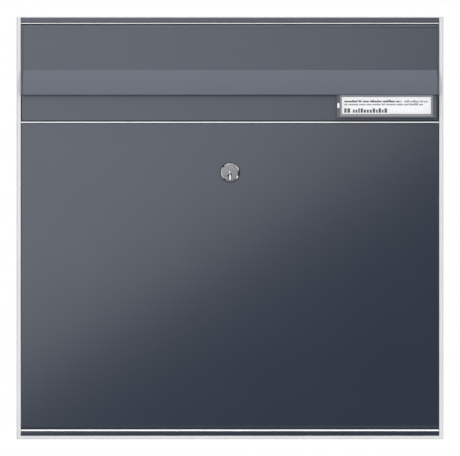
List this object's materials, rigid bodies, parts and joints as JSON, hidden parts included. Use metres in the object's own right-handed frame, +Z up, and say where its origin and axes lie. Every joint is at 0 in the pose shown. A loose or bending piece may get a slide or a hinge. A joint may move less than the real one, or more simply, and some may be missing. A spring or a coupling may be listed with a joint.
{
  "type": "wall mounted mailbox",
  "caption": "Square wall mailbox: sheet-metal casing with a lift-up letter flap, a fixed name panel with a nameplate, and a drop-down door with a cam lock.",
  "frame": {"origin": "centre of the rear face, where the mailbox lies against the wall", "axes": "+X to the right seen from the front, +Y into the wall, +Z up"},
  "size_m": [0.378, 0.122, 0.374],
  "materials": {
    "casing_paint": "satin",
    "panel_paint": "satin",
    "coated_aluminium": "satin",
    "grey_plastic": "satin",
    "dark_plastic": "matte",
    "white_plastic": "satin",
    "clear_plastic": "gloss",
    "label_paper": "matte",
    "black_rubber": "matte",
    "zinc_steel": "satin",
    "satin_nickel": "satin"
  },
  "bodies": {
    "housing": {"housing_shell": "casing_paint", "back_panel": "casing_paint", "mid_rail": "casing_paint", "mail_guide": "casing_paint", "guide_bracket_left": "casing_paint", "guide_bracket_right": "casing_paint", "fixing_grommet_1": "black_rubber", "fixing_grommet_2": "black_rubber", "fixing_grommet_3": "black_rubber", "fixing_grommet_4": "black_rubber", "top_strip": "coated_aluminium", "bottom_strip": "coated_aluminium", "divider_top": "casing_paint", "divider_middle": "casing_paint", "divider_bottom": "casing_paint", "name_panel": "panel_paint", "nameplate_carrier": "dark_plastic", "nameplate_holder": "grey_plastic", "nameplate_label": "label_paper", "nameplate_cover": "clear_plastic", "nameplate_release_tab": "white_plastic", "flap_hinge_bracket_left": "zinc_steel", "flap_hinge_bracket_right": "zinc_steel", "door_hinge_bracket_left": "zinc_steel", "door_hinge_bracket_right": "zinc_steel", "flap_bumper_left": "black_rubber", "flap_bumper_right": "black_rubber", "door_bumper_left": "black_rubber", "door_bumper_right": "black_rubber"},
    "flap": {"flap_panel": "coated_aluminium", "flap_end_cap_left": "dark_plastic", "flap_end_cap_right": "dark_plastic", "flap_hinge_pin_left": "zinc_steel", "flap_hinge_pin_right": "zinc_steel"},
    "door": {"door_panel": "panel_paint", "door_stiffener": "casing_paint", "door_hinge_pin_left": "zinc_steel", "door_hinge_pin_right": "zinc_steel", "door_hinge_bushing_left": "dark_plastic", "door_hinge_bushing_right": "dark_plastic", "lock_barrel": "satin_nickel", "lock_gasket": "black_rubber", "lock_nut": "satin_nickel"},
    "lock_core": {"lock_plug": "satin_nickel", "lock_cam": "zinc_steel", "cam_screw": "zinc_steel"}
  },
  "joints": [
    {"name": "flap_hinge", "type": "hinge", "parent": "housing", "child": "flap", "pos_m": [0, -0.1075, 0.177], "axis": [-1, 0, 0], "range_deg": [0, 75]},
    {"name": "door_hinge", "type": "hinge", "parent": "housing", "child": "door", "pos_m": [0, -0.1075, -0.1746], "axis": [1, 0, 0], "range_deg": [0, 90]},
    {"name": "lock_turn", "type": "hinge", "parent": "door", "child": "lock_core", "pos_m": [0, -0.1, 0.0491], "axis": [0, 1, 0], "range_deg": [0, 90]}
  ]
}
